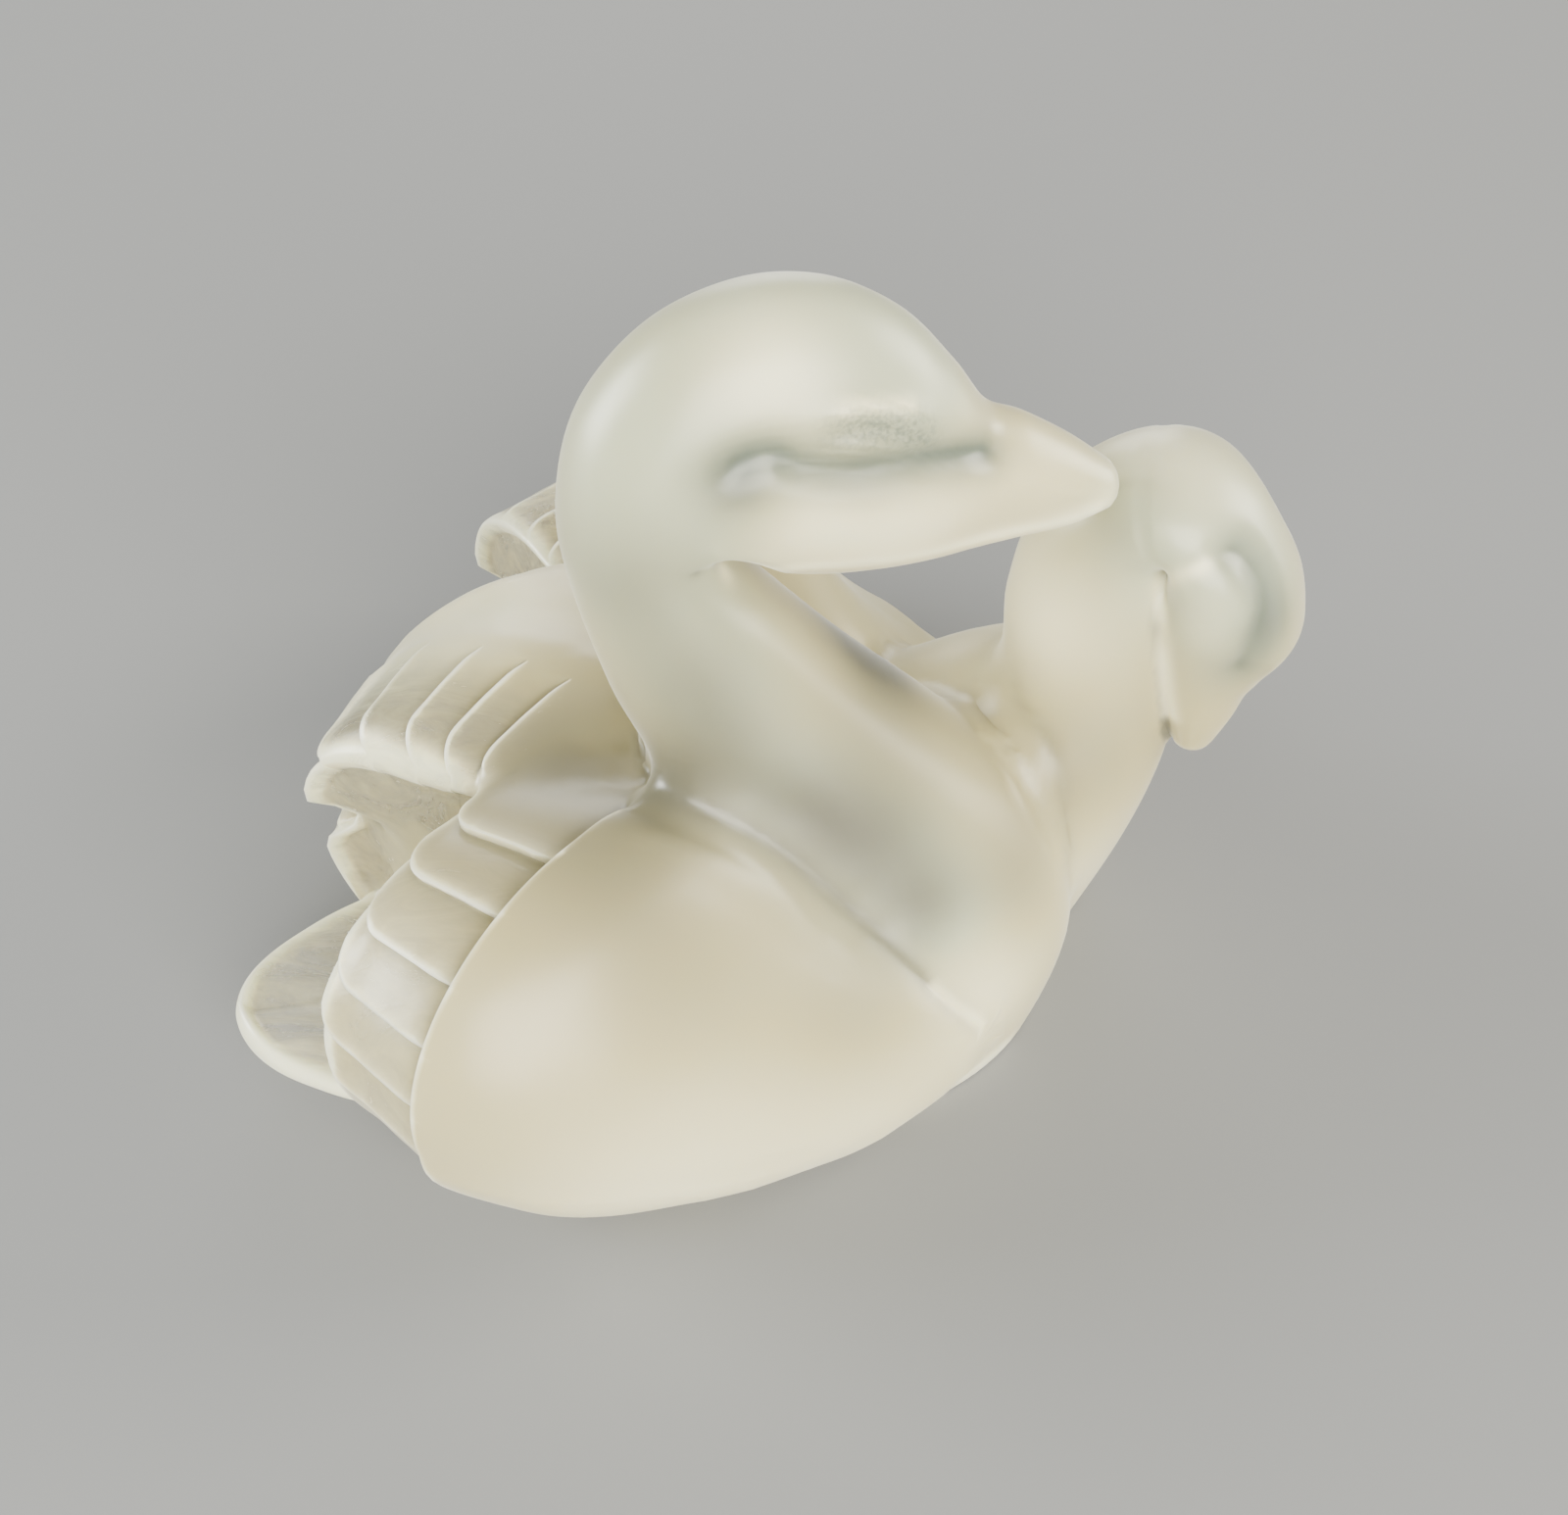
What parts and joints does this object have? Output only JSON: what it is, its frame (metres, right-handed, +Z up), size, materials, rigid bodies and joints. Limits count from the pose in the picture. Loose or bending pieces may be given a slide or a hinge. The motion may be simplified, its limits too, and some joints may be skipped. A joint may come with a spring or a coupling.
{
  "type": "swan pair figurine",
  "caption": "Frosted crystal figurine of two swans cast in one piece, one with head held high and one with head bowed, to stand on a shelf as an ornament.",
  "frame": {"origin": "centre of the pair's bounding box, on the level that its ground underside stands on", "axes": "+X is forward, midway between the two swans' headings; +Y is to their left; +Z is up"},
  "size_m": [0.0904, 0.0836, 0.0744],
  "materials": {
    "frosted_crystal": "satin frosted crystal"
  },
  "bodies": {
    "root": {"swan_pair": "frosted_crystal"}
  },
  "joints": []
}
